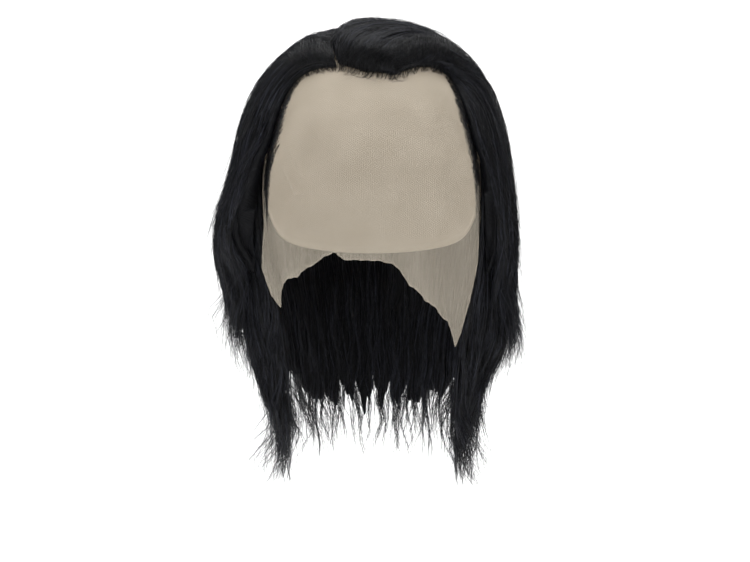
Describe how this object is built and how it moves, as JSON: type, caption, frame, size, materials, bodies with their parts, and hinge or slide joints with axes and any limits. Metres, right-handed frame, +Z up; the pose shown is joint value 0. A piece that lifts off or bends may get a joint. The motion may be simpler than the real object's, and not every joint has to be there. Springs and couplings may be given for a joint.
{
  "type": "lace front wig",
  "caption": "Straight to slightly wavy black wig with a side parting, on a net cap with an uncut sheer front lace, kept in its worn form.",
  "frame": {"origin": "inner top of the cap at the crown, where the head carries the wig", "axes": "+Z up, the face looks towards -Y, +X is the image's right"},
  "size_m": [0.2166, 0.2205, 0.32],
  "materials": {
    "hair": "soft low sheen, slightly wavy strands",
    "sheer_lace": "fine open net, matte",
    "cap_net": "close knitted net, matte"
  },
  "bodies": {
    "root": {"cap": "cap_net", "front_lace": "sheer_lace", "hair_top_left": "hair", "hair_top_right": "hair", "hair_back": "hair", "hair_side_left": "hair", "hair_side_right": "hair", "hair_nape": "hair"}
  },
  "joints": []
}
